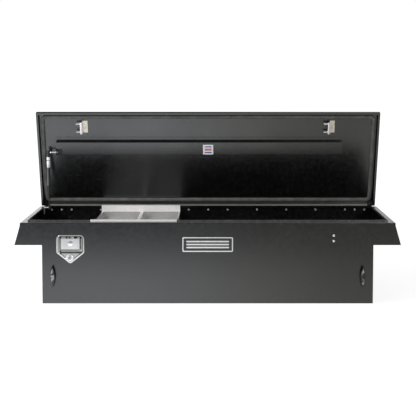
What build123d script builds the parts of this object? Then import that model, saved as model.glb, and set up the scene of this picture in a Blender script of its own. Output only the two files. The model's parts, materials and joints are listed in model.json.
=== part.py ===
from build123d import *
import math
import os

os.makedirs("parts", exist_ok=True)

# Crossover truck tool box. X runs across the truck, Y towards the cab (the hinge side), Z is up.
# The origin is the middle of the floor's underside. All sizes are in millimetres.

# Driving dimensions of the box
OVERALL_LENGTH = 1804.0
BODY_LENGTH = 1547.0
RIM_LENGTH = 1752.0
DEPTH = 508.0
HEIGHT = 381.0
WING_DEPTH = 105.0
SHEET = 2.0
RIM_LEG = 14.0
FLANGE = 31.0
LIP_HEIGHT = 8.0
BEND = 4.0

FRONT = -DEPTH / 2
REAR = DEPTH / 2
INNER_FRONT = FRONT + SHEET
INNER_REAR = REAR - SHEET
WING_Z = HEIGHT - WING_DEPTH
RIM_Z = HEIGHT - RIM_LEG
LIP_X = RIM_LENGTH / 2 - FLANGE
LIP_Y = DEPTH / 2 - FLANGE
LIP_TOP = HEIGHT + LIP_HEIGHT
TIP_X = OVERALL_LENGTH / 2
RIM_X = RIM_LENGTH / 2
BODY_X = BODY_LENGTH / 2

# Wing floor bolt holes, for the bolts that clamp the box to the bed rails
RAIL_HOLE_R = 5.5
RAIL_HOLE_X = 836.0
RAIL_HOLE_SPACING = 300.0

# Piano hinge along the top of the rear panel
HINGE_LENGTH = 1656.0
HINGE_PIN_R = 1.6
HINGE_BORE_R = 1.65
KNUCKLE_R = 3.6
LEAF = 1.5
KNUCKLE_PITCH = 36.0
KNUCKLE_GAP = 0.6
HINGE_Y = REAR + KNUCKLE_R
HINGE_Z = HEIGHT
BODY_LEAF_DROP = 32.0
LID_LEAF_RISE = 21.0
HINGE_AXIS = Axis((0, HINGE_Y, HINGE_Z), (1, 0, 0))
HINGE_SCREW_X = [0.0, 101.6, 254.0, 406.4, 558.8, 711.2, 762.0, 812.8]
HINGE_SCREW_Z = HEIGHT - 17.5
HINGE_SCREW_R = 2.2

# Lid, drawn closed and then turned open about the hinge
LID_OPEN = 75.0
LID_HALF = 868.0
LID_FRONT = HINGE_Y - 509.0
LID_REAR = HINGE_Y - 0.1
LID_TOP = HEIGHT + 26.0
LID_UNDER = LID_TOP - SHEET
LID_BOTTOM = HEIGHT + 0.8
HEM = 8.0
SKIRT_TO_HINGE = 4.6

# Bulb seal under the lid, above the body's lip
SEAL_WIDTH = 18.0
SEAL_BOTTOM = HEIGHT + 11.0
SEAL_HALF = 839.5
SEAL_FRONT = LID_FRONT + 26.5
SEAL_REAR = HINGE_Y - 28.0
SEAL_CORNER = 20.0
SEAL_ROUND = 8.4

# Hat-section channel that stiffens the lid
CHANNEL_LEFT = -775.0
CHANNEL_RIGHT = 683.0
CHANNEL_NEAR = 283.5
CHANNEL_FAR = 353.5
CHANNEL_FLANGE = 19.0
CHANNEL_FACE = HEIGHT
CHANNEL_BEND = 3.0

# Gas strut: the rod end stays on the body's ball stud, the cylinder end meets the lid's
STRUT_X = -815.0
STRUT_LOW_Y = 194.0
STRUT_LOW_Z = 383.0
STRUT_LID_REACH = 302.0
STRUT_LID_DROP = 9.0
BALL_R = 5.0
BALL_BORE_R = 5.06
STUD_R = 3.0
EYE_R = 7.0
TUBE_R = 8.0
TUBE_BORE_R = 6.5
TUBE_LENGTH = 165.0
ROD_R = 3.0
PISTON_R = 6.44

# Strikers under the lid
STRIKER_ROD_R = 4.0
STRIKER_NEAR = 407.0
STRIKER_FAR = 450.0
STRIKER_DROP = 2.0
STRIKER_STEP = 1255.0
STRIKER_TIP = -668.7
STRIKER_SPINE = -644.5
STRIKER_LEG = -640.0
STRIKER_PLATE_END = -612.0
STRIKER_PLATE_NEAR = 398.0
STRIKER_PLATE_FAR = 462.0
PLATE = 3.0

# Latches behind the front panel
LATCH_X = -659.0
LATCH_Y = HINGE_Y - STRIKER_FAR
LATCH_Z = HEIGHT + STRIKER_DROP
CLAW_Y = LATCH_Y + 14.0
CLAW_Z = LATCH_Z - 17.0
CLAW_PIN_R = 3.0
CLAW_BORE_R = 3.05
CLAW_THICK = 8.0
CLAW_OPEN = 65.0
LATCH_PLATE = 2.5
LATCH_HALF = 9.0
LATCH_TOP = HEIGHT + 5.0
LATCH_SCREW_X = 588.0
LATCH_SCREW_Z = [295.0, 320.5]

# Paddle handle at the front left
HANDLE_X = -641.0
DISH_HALF = 65.0
DISH_TOP = 324.0
DISH_SHOULDER = 240.0
DISH_APEX = 188.0
DISH_SHEET = 2.0
GASKET = 1.0
POCKET_HALF = 52.0
POCKET_LOW = 236.0
POCKET_HIGH = 315.0
POCKET_BACK = -229.0
POCKET_SHEET = 1.5
RECESS_FLOOR = FRONT + 3.8
RECESS_SHEET = 1.2
RECESS_SLOPE = 3.7
RECESS_INSET = 5.5
PANEL_HOLE_INSET = 3.2
BOSS_FRONT = FRONT - 1.0
BOSS_R = 17.0
SHAFT_Y = -244.0
SHAFT_Z = 308.0
SHAFT_R = 4.0
SHAFT_BORE_R = 4.06
SHAFT_LEFT = HANDLE_X - POCKET_HALF - 6.0
SHAFT_RIGHT = 608.0
PADDLE_HALF = 43.0
PADDLE_LOW = 244.5
PADDLE_HIGH = 306.4
DOME_R = 12.0
DOME_RISE = 1.5
DOME_Z = 284.0
PAWL_THICK = 5.0
PAWL_HUB_R = 6.5
LOCK_X = -644.0
LOCK_Z = 216.0
LOCK_R = 11.0
COLLAR_R = 13.5
PLUG_R = 9.0
LOCK_BODY_BACK = POCKET_BACK - 2.0
LOCK_CAM_FRONT = POCKET_BACK + 0.6
LOCK_CAM_BACK = LOCK_CAM_FRONT + 2.5

# Hanging tray
TRAY_LEFT = -550.0
TRAY_RIGHT = -145.0
TRAY_SHEET = 1.5
TRAY_FLOOR = HEIGHT - 55.0
TRAY_SIDE_TOP = HEIGHT - 23.0
TRAY_Y = LIP_Y - SHEET - 0.8
TRAY_HOOK_TOP = LIP_TOP + 1.9
HANGER_LOW = HEIGHT - 23.0
PAN_END_TOP = HEIGHT - 5.0
DIVIDER_X = -341.0
DIVIDER_TOP = 16.0

# Trim
BADGE_LENGTH = 236.0
BADGE_HEIGHT = 69.0
BADGE_Z = 279.0
CLEAT_X = 723.6
CLEAT_Z = 129.0
CLEAT_LENGTH = 107.0
CLEAT_WIDTH = 29.0


def block(x0, x1, y0, y1, z0, z1):
    """A box between two opposite corners."""
    return Pos((x0 + x1) / 2, (y0 + y1) / 2, (z0 + z1) / 2) * Box(x1 - x0, y1 - y0, z1 - z0)


def rod_x(x0, x1, y, z, radius):
    """A round bar along X."""
    return Pos((x0 + x1) / 2, y, z) * Rot(0, 90, 0) * Cylinder(radius, x1 - x0)


def rod_y(x, y0, y1, z, radius):
    """A round bar along Y."""
    return Pos(x, (y0 + y1) / 2, z) * Rot(90, 0, 0) * Cylinder(radius, y1 - y0)


def rod_z(x, y, z0, z1, radius):
    """A round bar along Z."""
    return Pos(x, y, (z0 + z1) / 2) * Cylinder(radius, z1 - z0)


def plate_xz(points, y0, y1):
    """An outline in the XZ plane, extruded from y0 to y1."""
    face = make_face(Polyline(*[(x, y0, z) for x, z in points], close=True))
    return extrude(face, amount=y1 - y0, dir=(0, 1, 0))


def plate_yz(points, x0, x1):
    """An outline in the YZ plane, extruded from x0 to x1."""
    face = make_face(Polyline(*[(x0, y, z) for y, z in points], close=True))
    return extrude(face, amount=x1 - x0, dir=(1, 0, 0))


def plate_xy(points, z0, z1):
    """An outline in the XY plane, extruded from z0 to z1."""
    face = make_face(Polyline(*[(x, y, z0) for x, y in points], close=True))
    return extrude(face, amount=z1 - z0, dir=(0, 0, 1))


def hexagon_y(x, y0, y1, z, across):
    """A hexagonal nut along Y, drawn solid."""
    outer = across / math.sqrt(3)
    turns = [math.radians(60 * step) for step in range(6)]
    return plate_xz([(x + outer * math.cos(t), z + outer * math.sin(t)) for t in turns], y0, y1)


def cross_y(x, y0, y1, z, width):
    """The cross recess of a screw that is driven along Y."""
    half = width / 2
    arm = width / 8
    return block(x - half, x + half, y0, y1, z - arm, z + arm) + block(x - arm, x + arm, y0, y1, z - half, z + half)


def mirrored(shape):
    """The same piece on the other end of the box."""
    return shape.mirror(Plane.YZ)


def opened(shape):
    """A piece of the lid, drawn closed, in its open place."""
    return shape.rotate(HINGE_AXIS, -LID_OPEN)


def save(shape, node):
    export_step(shape, "parts/" + node + ".step")


# ---------------------------------------------------------------- body panels

def wing_slope_x(z):
    """Outer half width of the wing at height z."""
    share = (z - WING_Z) / (RIM_Z - WING_Z)
    return TIP_X + (RIM_X - TIP_X) * share


def end_panel_outline():
    """The T-shaped outline of the front and rear panels, below the folded rim."""
    half = [(BODY_X, 0), (BODY_X, WING_Z), (TIP_X, WING_Z), (RIM_X, RIM_Z)]
    return half + [(-x, z) for x, z in reversed(half)]


def front_panel():
    panel = plate_xz(end_panel_outline(), FRONT, INNER_FRONT)
    panel -= dish_outline(-PANEL_HOLE_INSET, FRONT - 1, INNER_FRONT + 1)
    for z in LATCH_SCREW_Z:
        panel -= rod_y(LATCH_SCREW_X, FRONT - 1, INNER_FRONT + 1, z, 3.3)
    for side in (-1, 1):
        for z in cleat_screw_heights():
            panel -= rod_y(side * CLEAT_X, FRONT - 1, INNER_FRONT + 1, z, 2.6)
    return panel


def rear_panel():
    panel = plate_xz(end_panel_outline(), INNER_REAR, REAR)
    for x in hinge_screw_places():
        panel -= rod_y(x, INNER_REAR - 1, REAR + 1, HINGE_SCREW_Z, HINGE_SCREW_R + 0.1)
    return panel


def floor_panel():
    return block(-BODY_X, BODY_X, INNER_FRONT, INNER_REAR, 0, SHEET)


def side_panel():
    return block(BODY_X - SHEET, BODY_X, INNER_FRONT, INNER_REAR, SHEET, WING_Z + SHEET)


def wing_floor():
    floor = block(BODY_X, TIP_X, INNER_FRONT, INNER_REAR, WING_Z, WING_Z + SHEET)
    for y in (-RAIL_HOLE_SPACING / 2, RAIL_HOLE_SPACING / 2):
        floor -= rod_z(RAIL_HOLE_X, y, WING_Z - 1, WING_Z + SHEET + 1, RAIL_HOLE_R)
    return floor


def wing_end():
    low = WING_Z + SHEET
    outline = [(wing_slope_x(low), low), (RIM_X, RIM_Z), (RIM_X - SHEET, RIM_Z),
               (wing_slope_x(low) - SHEET, low)]
    return plate_xz(outline, INNER_FRONT, INNER_REAR)


def rim_ring():
    """The folded top edge: a short vertical leg, an inward flange and an upstanding lip."""
    outer = block(-RIM_X, RIM_X, FRONT, REAR, RIM_Z, HEIGHT)
    outer = fillet(outer.edges().group_by(Axis.Z)[-1], BEND)
    hollow = block(-RIM_X + SHEET, RIM_X - SHEET, INNER_FRONT, INNER_REAR, RIM_Z - BEND, HEIGHT - SHEET)
    hollow = fillet(hollow.edges().group_by(Axis.Z)[-1], BEND - SHEET)
    lip = block(-LIP_X, LIP_X, -LIP_Y, LIP_Y, HEIGHT - SHEET, LIP_TOP)
    lip = fillet(lip.edges().group_by(Axis.Z)[-1], 0.6)
    mouth = block(-LIP_X + SHEET, LIP_X - SHEET, -LIP_Y + SHEET, LIP_Y - SHEET, RIM_Z, LIP_TOP + 1)
    return outer - hollow + lip - mouth


def rim_pieces():
    """The four mitred sides of the rim: front, rear, left and right."""
    ring = rim_ring()
    reach = 60
    inner_x = RIM_X - reach
    inner_y = DEPTH / 2 - reach
    front = [(-RIM_X, FRONT), (RIM_X, FRONT), (inner_x, -inner_y), (-inner_x, -inner_y)]
    side = [(RIM_X, FRONT), (RIM_X, REAR), (inner_x, inner_y), (inner_x, -inner_y)]
    low = RIM_Z - 1
    high = LIP_TOP + 1
    return {
        "front_rim": ring & plate_xy(front, low, high),
        "rear_rim": ring & plate_xy([(x, -y) for x, y in front], low, high),
        "right_rim": ring & plate_xy(side, low, high),
        "left_rim": ring & plate_xy([(-x, y) for x, y in side], low, high),
    }


# ---------------------------------------------------------------- hinge

def hinge_screw_places():
    return sorted({side * x for x in HINGE_SCREW_X for side in (-1, 1)})


def knuckle_spans(first):
    """Every second stretch of the hinge, starting with the first or the second."""
    count = int(HINGE_LENGTH / KNUCKLE_PITCH)
    start = -HINGE_LENGTH / 2
    spans = []
    for index in range(first, count, 2):
        x = start + index * KNUCKLE_PITCH
        spans.append((x + KNUCKLE_GAP / 2, x + KNUCKLE_PITCH - KNUCKLE_GAP / 2))
    return spans


def hinge_leaf(first, z0, z1, neck0, neck1):
    """A flat leaf with its knuckles, each on a neck tangent to the barrel."""
    leaf = block(-HINGE_LENGTH / 2, HINGE_LENGTH / 2, REAR, REAR + LEAF, z0, z1)
    for x0, x1 in knuckle_spans(first):
        leaf += block(x0, x1, REAR, REAR + LEAF, neck0, neck1)
        leaf += rod_x(x0, x1, HINGE_Y, HINGE_Z, KNUCKLE_R)
    return leaf - rod_x(-HINGE_LENGTH / 2 - 1, HINGE_LENGTH / 2 + 1, HINGE_Y, HINGE_Z, HINGE_BORE_R)


def hinge_body_leaf():
    clear = KNUCKLE_R + 0.6
    leaf = hinge_leaf(0, HINGE_Z - BODY_LEAF_DROP, HINGE_Z - clear, HINGE_Z - clear, HINGE_Z)
    for x in hinge_screw_places():
        leaf -= rod_y(x, REAR - 1, REAR + LEAF + 1, HINGE_SCREW_Z, HINGE_SCREW_R + 0.1)
    return leaf


def hinge_lid_leaf():
    clear = KNUCKLE_R + 0.6
    return hinge_leaf(1, HINGE_Z + clear, HINGE_Z + LID_LEAF_RISE, HINGE_Z, HINGE_Z + clear)


def hinge_screws():
    screws = []
    for x in hinge_screw_places():
        shank = rod_y(x, INNER_REAR, REAR + LEAF + 1.5, HINGE_SCREW_Z, HINGE_SCREW_R)
        head = rod_y(x, INNER_REAR - 2.6, INNER_REAR, HINGE_SCREW_Z, 5.5)
        head = fillet(head.edges().group_by(Axis.Y)[0], 1.6)
        screws.append(shank + head - cross_y(x, INNER_REAR - 3, INNER_REAR - 1.3, HINGE_SCREW_Z, 6.0))
    return Compound(children=screws)


# ---------------------------------------------------------------- lid

def lid_shell():
    outer = block(-LID_HALF, LID_HALF, LID_FRONT, LID_REAR, LID_BOTTOM, LID_TOP)
    outer = fillet(outer.edges().group_by(Axis.Z)[-1], 3.0)
    inner = block(-LID_HALF + SHEET, LID_HALF - SHEET, LID_FRONT + SHEET, LID_REAR - SHEET,
                  LID_BOTTOM + SHEET, LID_UNDER)
    inner = fillet(inner.edges().group_by(Axis.Z)[-1], 1.0)
    mouth = block(-LID_HALF + SHEET + HEM, LID_HALF - SHEET - HEM, LID_FRONT + SHEET + HEM,
                  LID_REAR - SHEET, LID_BOTTOM - 1, LID_BOTTOM + SHEET + 1)
    knuckle_room = block(-LID_HALF - 1, LID_HALF + 1, REAR - 6, LID_REAR + 1, LID_BOTTOM - 1,
                         HINGE_Z + SKIRT_TO_HINGE)
    return opened(outer - inner - mouth - knuckle_room)


def seal_loop(half_x, front, rear, corner, z0, z1):
    loop = block(-half_x, half_x, front, rear, z0, z1)
    return fillet(loop.edges().filter_by(Axis.Z), corner)


def lid_seal():
    half = SEAL_WIDTH / 2
    outer = seal_loop(SEAL_HALF + half, SEAL_FRONT - half, SEAL_REAR + half, SEAL_CORNER + half,
                      SEAL_BOTTOM, LID_UNDER)
    outer = fillet(outer.edges().group_by(Axis.Z)[0], SEAL_ROUND)
    inner = seal_loop(SEAL_HALF - half, SEAL_FRONT + half, SEAL_REAR - half, SEAL_CORNER - half,
                      SEAL_BOTTOM - 1, LID_UNDER)
    ring = outer - inner
    return opened(fillet(ring.edges().group_by(Axis.Z)[0], SEAL_ROUND))


def lid_channel():
    near = HINGE_Y - CHANNEL_NEAR
    far = HINGE_Y - CHANNEL_FAR
    sheet = SHEET
    outline = [
        (near + CHANNEL_FLANGE, LID_UNDER), (near + CHANNEL_FLANGE, LID_UNDER - sheet),
        (near, LID_UNDER - sheet), (near, CHANNEL_FACE), (far, CHANNEL_FACE),
        (far, LID_UNDER - sheet), (far - CHANNEL_FLANGE, LID_UNDER - sheet),
        (far - CHANNEL_FLANGE, LID_UNDER), (far + sheet, LID_UNDER), (far + sheet, CHANNEL_FACE + sheet),
        (near - sheet, CHANNEL_FACE + sheet), (near - sheet, LID_UNDER),
    ]
    channel = plate_yz(outline, CHANNEL_LEFT, CHANNEL_RIGHT)
    for level, radius in ((0, CHANNEL_BEND), (1, CHANNEL_BEND - SHEET)):
        folds = channel.edges().filter_by(Axis.X).group_by(Axis.Z)[level]
        channel = fillet(folds, radius)
    return opened(channel)


def strut_lid_point():
    """The lid's ball stud, with the lid closed."""
    return HINGE_Y - STRUT_LID_REACH, HINGE_Z - STRUT_LID_DROP


def strut_lid_bracket():
    """A black steel angle on the channel's left end that carries the upper ball stud."""
    y, z = strut_lid_point()
    foot = block(CHANNEL_LEFT, CHANNEL_LEFT + 30, y - 14, y + 14, CHANNEL_FACE - PLATE, CHANNEL_FACE)
    ear = block(CHANNEL_LEFT, CHANNEL_LEFT + PLATE, y - 14, y + 14, z - 9, CHANNEL_FACE)
    ear = fillet(ear.edges().filter_by(Axis.X).group_by(Axis.Z)[0], 8.0)
    return opened(foot + ear - rod_x(CHANNEL_LEFT - 1, CHANNEL_LEFT + PLATE + 1, y, z, STUD_R))


def strut_upper_stud():
    y, z = strut_lid_point()
    tip = STRUT_X + EYE_R + 0.5 + BALL_R
    stud = rod_x(tip, CHANNEL_LEFT + PLATE + 5, y, z, STUD_R)
    stud += Pos(tip, y, z) * Sphere(BALL_R)
    nut = rod_x(CHANNEL_LEFT - 5, CHANNEL_LEFT, y, z, 5.5)
    end = rod_x(CHANNEL_LEFT + PLATE, CHANNEL_LEFT + PLATE + 5, y, z, 5.0)
    return opened(stud + nut + end)


def striker_pair(shape):
    return Compound(children=[opened(shape), opened(Pos(STRIKER_STEP, 0, 0) * shape)])


def striker_brackets():
    y0 = HINGE_Y - STRIKER_PLATE_FAR
    y1 = HINGE_Y - STRIKER_PLATE_NEAR
    plate = block(STRIKER_LEG, STRIKER_PLATE_END, y0, y1, LID_UNDER - PLATE, LID_UNDER)
    leg = block(STRIKER_LEG, STRIKER_LEG + PLATE, y0, y1, HEIGHT - 3, LID_UNDER)
    shape = plate + leg
    for y in striker_screw_places():
        shape -= rod_z(striker_screw_x(), y, LID_UNDER - PLATE - 1, LID_UNDER + 1, 2.2)
    return striker_pair(shape)


def striker_rods():
    z = HEIGHT + STRIKER_DROP
    near = HINGE_Y - STRIKER_NEAR
    far = HINGE_Y - STRIKER_FAR
    spine = rod_y(STRIKER_SPINE, far - 8, near + 11, z, 4.5)
    spine = fillet(spine.edges(), 1.5)
    for y in (near, far):
        prong = rod_x(STRIKER_TIP, STRIKER_SPINE, y, z, STRIKER_ROD_R)
        spine += fillet(prong.edges().group_by(Axis.X)[0], 1.5)
    return striker_pair(spine)


def striker_screw_x():
    return (STRIKER_LEG + PLATE + STRIKER_PLATE_END) / 2


def striker_screw_places():
    middle = HINGE_Y - (STRIKER_PLATE_NEAR + STRIKER_PLATE_FAR) / 2
    return [middle - 16, middle + 16]


def striker_screws():
    screws = []
    for step in (0, STRIKER_STEP):
        for y in striker_screw_places():
            x = striker_screw_x() + step
            head = rod_z(x, y, LID_UNDER - PLATE - 2.2, LID_UNDER - PLATE, 4.2)
            head = fillet(head.edges().group_by(Axis.Z)[0], 1.2)
            screws.append(opened(head + rod_z(x, y, LID_UNDER - PLATE, LID_UNDER, 2.2)))
    return Compound(children=screws)


# ---------------------------------------------------------------- gas strut

def strut_line():
    """Lower ball, direction to the upper ball with the lid open, and the distance between them."""
    angle = math.radians(LID_OPEN)
    y = -STRUT_LID_REACH * math.cos(angle) - STRUT_LID_DROP * math.sin(angle)
    z = STRUT_LID_REACH * math.sin(angle) - STRUT_LID_DROP * math.cos(angle)
    dy = HINGE_Y + y - STRUT_LOW_Y
    dz = HINGE_Z + z - STRUT_LOW_Z
    length = math.hypot(dy, dz)
    return dy / length, dz / length, length


def on_strut(shape):
    """Place a piece drawn along +Z from the lower ball on the strut's line."""
    dy, dz, _ = strut_line()
    lean = -math.degrees(math.atan2(dy, dz))
    return Pos(STRUT_X, STRUT_LOW_Y, STRUT_LOW_Z) * Rot(lean, 0, 0) * shape


def strut_eye(direction):
    """An end socket around its ball, open towards the body's stud."""
    eye = Cylinder(EYE_R, 16)
    eye = fillet(eye.edges(), 1.5)
    if direction < 0:
        eye -= Sphere(BALL_BORE_R)
        eye -= Pos(-EYE_R, 0, 0) * Rot(0, 90, 0) * Cylinder(STUD_R + 1, 2 * EYE_R)
    return eye


def strut_rod():
    length = strut_line()[2]
    end = length - 70
    rod = Pos(0, 0, (8 + end) / 2) * Cylinder(ROD_R, end - 8)
    piston = Pos(0, 0, end - 5) * Cylinder(PISTON_R, 10)
    return on_strut(rod + piston)


def strut_rod_end():
    return on_strut(strut_eye(-1) + Pos(0, 0, 12) * Cylinder(4.5, 8) - Pos(0, 0, 12) * Cylinder(ROD_R, 8))


def strut_cylinder():
    length = strut_line()[2]
    top = length - 8
    bottom = top - TUBE_LENGTH
    tube = Pos(0, 0, (top + bottom) / 2) * Cylinder(TUBE_R, TUBE_LENGTH)
    tube = fillet(tube.edges(), 1.5)
    bore = Pos(0, 0, bottom + (TUBE_LENGTH - 8) / 2 + 4) * Cylinder(TUBE_BORE_R, TUBE_LENGTH - 16)
    mouth = Pos(0, 0, bottom) * Cylinder(ROD_R + 0.06, 20)
    return on_strut(tube - bore - mouth)


def strut_cylinder_end():
    length = strut_line()[2]
    return on_strut(Pos(0, 0, length) * strut_eye(1))


def strut_body_bracket():
    """A zinc plate on the inside of the left lip that carries the lower ball stud."""
    plate = block(-LIP_X + SHEET, -LIP_X + SHEET + PLATE, STRUT_LOW_Y - 14, STRUT_LOW_Y + 14,
                  STRUT_LOW_Z - 32, STRUT_LOW_Z + 5)
    plate = fillet(plate.edges().filter_by(Axis.X), 4.0)
    return plate - rod_x(-LIP_X, -LIP_X + SHEET + PLATE + 1, STRUT_LOW_Y, STRUT_LOW_Z, STUD_R)


def strut_lower_stud():
    wall = -LIP_X + SHEET
    stud = rod_x(wall, STRUT_X, STRUT_LOW_Y, STRUT_LOW_Z, STUD_R)
    stud += rod_x(wall + PLATE, wall + PLATE + 6, STRUT_LOW_Y, STRUT_LOW_Z, 5.5)
    return stud + Pos(STRUT_X, STRUT_LOW_Y, STRUT_LOW_Z) * Sphere(BALL_R)


# ---------------------------------------------------------------- latches

def claw_shape():
    """The hooked claw of a latch, in its latched place around the striker rod."""
    y = LATCH_Y
    z = LATCH_Z
    outline = [
        (y + 5.5, CLAW_Z), (y + 5.5, z + 4.8), (y - 7, z + 4.8), (y - 7, z + 8), (y - 3, z + 12),
        (y + 12, z + 12), (y + 18, z + 6), (y + 23, CLAW_Z),
    ]
    claw = plate_yz(outline, LATCH_X - CLAW_THICK / 2, LATCH_X + CLAW_THICK / 2)
    claw += rod_x(LATCH_X - CLAW_THICK / 2, LATCH_X + CLAW_THICK / 2, CLAW_Y, CLAW_Z, 10.0)
    claw -= rod_x(LATCH_X - CLAW_THICK, LATCH_X + CLAW_THICK, CLAW_Y, CLAW_Z, CLAW_BORE_R)
    return claw.rotate(Axis((0, CLAW_Y, CLAW_Z), (1, 0, 0)), -CLAW_OPEN)


def claw_pin(x):
    return rod_x(x - LATCH_HALF, x + LATCH_HALF, CLAW_Y, CLAW_Z, CLAW_PIN_R)


def latch_side(x0, z0):
    """One side plate of a latch housing, with the mouth that the striker rod drops into."""
    rear = CLAW_Y + 12
    outline = [(INNER_FRONT, z0), (rear - 24, z0), (rear, CLAW_Z - 14), (rear, LATCH_TOP - 12),
               (rear - 12, LATCH_TOP), (LIP_Y * -1 + 6, LATCH_TOP), (LIP_Y * -1 + 6, HEIGHT - 8),
               (INNER_FRONT, HEIGHT - 8)]
    side = plate_yz(outline, x0, x0 + LATCH_PLATE)
    mouth = block(x0 - 1, x0 + LATCH_PLATE + 1, LATCH_Y - 5, LATCH_Y + 5, LATCH_Z, LATCH_TOP + 1)
    side -= mouth
    side -= rod_x(x0 - 1, x0 + LATCH_PLATE + 1, LATCH_Y, LATCH_Z, 5.0)
    return side - rod_x(x0 - 1, x0 + LATCH_PLATE + 1, CLAW_Y, CLAW_Z, CLAW_PIN_R)


def latch_housing(x, z0, flange_low, flange_x):
    """Two side plates, joined by a spacer, with a flange against the front panel."""
    outer = x + LATCH_HALF - LATCH_PLATE
    inner = x - LATCH_HALF
    housing = latch_side(outer, z0)
    cover = latch_side(inner, z0)
    cover -= block(inner - 1, inner + LATCH_PLATE + 1, INNER_FRONT - 1, SHAFT_Y + 7, z0 - 1, HEIGHT)
    flange = block(flange_x, x + LATCH_HALF, INNER_FRONT, INNER_FRONT + LATCH_PLATE,
                   flange_low, HEIGHT - 8)
    spacer = rod_x(inner, x + LATCH_HALF, CLAW_Y + 6, CLAW_Z - 12, 3.0)
    housing = housing + cover + flange + spacer
    return housing - rod_x(x - 20, x + 20, SHAFT_Y, SHAFT_Z, SHAFT_BORE_R)


def left_latch_housing():
    return latch_housing(LATCH_X, DISH_TOP + 4, DISH_TOP + 4, LATCH_X - 22)


def right_latch_housing():
    housing = latch_housing(LATCH_X + STRIKER_STEP, SHAFT_Z - 22, SHAFT_Z - 22, LATCH_SCREW_X - 12)
    for z in LATCH_SCREW_Z:
        housing -= rod_y(LATCH_SCREW_X, INNER_FRONT - 1, INNER_FRONT + LATCH_PLATE + 1, z, 3.0)
    x = LATCH_X + STRIKER_STEP
    hub_room = PAWL_HUB_R + 2
    return housing - block(x - 4.5, x + 4.5, INNER_FRONT - 1, INNER_FRONT + LATCH_PLATE + 1,
                           SHAFT_Z - hub_room, SHAFT_Z + hub_room)


def latch_screws():
    """Two pan-head screws through the front panel, with their nuts inside."""
    screws = []
    back = INNER_FRONT + LATCH_PLATE
    for z in LATCH_SCREW_Z:
        head = rod_y(LATCH_SCREW_X, FRONT - 3, FRONT, z, 5.5)
        head = fillet(head.edges().group_by(Axis.Y)[0], 1.8)
        head -= cross_y(LATCH_SCREW_X, FRONT - 4, FRONT - 1.5, z, 5.6)
        screw = head + rod_y(LATCH_SCREW_X, FRONT, back + 6, z, 3.0)
        screws.append(screw + hexagon_y(LATCH_SCREW_X, back, back + 5, z, 10.0))
    return Compound(children=screws)


def latch_nuts():
    """Two nuts on weld studs that hold the left latch without piercing the front panel."""
    nuts = []
    back = INNER_FRONT + LATCH_PLATE
    for z in (DISH_TOP + 14, HEIGHT - 20):
        nuts.append(hexagon_y(LATCH_X - 16, back, back + 5, z, 10.0)
                    + rod_y(LATCH_X - 16, back + 5, back + 8, z, 3.0))
    return Compound(children=nuts)


def pawl(x):
    """A release lever on the shaft that reaches up to the claw's hub."""
    dy = CLAW_Y - SHAFT_Y
    dz = CLAW_Z - SHAFT_Z
    span = math.hypot(dy, dz)
    reach = span - 11.2
    lever = Pos(reach / 2, 0, 0) * Box(reach, 9, PAWL_THICK)
    lever += Cylinder(PAWL_HUB_R, PAWL_THICK)
    lever -= Cylinder(SHAFT_R, PAWL_THICK)
    turn = math.degrees(math.atan2(dz, dy))
    upright = Rot(0, 90, 0) * Rot(0, 0, 90)
    return Pos(x, SHAFT_Y, SHAFT_Z) * Rot(turn, 0, 0) * upright * lever


def shaft_bearing():
    """A saddle in the middle of the front panel that steadies the long shaft."""
    saddle = block(-28, -2, INNER_FRONT, INNER_FRONT + 3, SHAFT_Z - 26, SHAFT_Z + 26)
    saddle += block(-21, -9, INNER_FRONT, SHAFT_Y + 9, SHAFT_Z - 9, SHAFT_Z + 9)
    return saddle - rod_x(-30, 0, SHAFT_Y, SHAFT_Z, SHAFT_BORE_R)


# ---------------------------------------------------------------- paddle handle

def dish_outline(grow, y0, y1):
    """The house-shaped outline of the handle dish, point down, with rounded corners."""
    half = DISH_HALF + grow
    points = [(HANDLE_X - half, DISH_TOP + grow), (HANDLE_X + half, DISH_TOP + grow),
              (HANDLE_X + half, DISH_SHOULDER - grow * 0.6), (HANDLE_X, DISH_APEX - grow * 1.3),
              (HANDLE_X - half, DISH_SHOULDER - grow * 0.6)]
    shape = plate_xz(points, y0, y1)
    upright = shape.edges().filter_by(Axis.Y)
    shape = fillet(upright.group_by(Axis.Z)[-1], 20.0 + grow)
    upright = shape.edges().filter_by(Axis.Y).sort_by(Axis.Z)
    return fillet([upright[0]] + upright[1:3], 12.0 + grow)


def dish_recess(inset, floor):
    """The sunk part of the dish, its sides sloping in towards the floor."""
    shape = dish_outline(-inset, FRONT - GASKET - DISH_SHEET, floor)
    return chamfer(shape.edges().group_by(Axis.Y)[-1], RECESS_SLOPE)


def dish_pocket(grow, y0, y1):
    """The deep pocket behind the paddle, its lower corners cut to the dish's point."""
    pocket = block(HANDLE_X - POCKET_HALF - grow, HANDLE_X + POCKET_HALF + grow, y0, y1,
                   POCKET_LOW - grow, POCKET_HIGH + grow)
    return pocket & dish_outline(grow - RECESS_INSET - RECESS_SLOPE, y0, y1)


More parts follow.
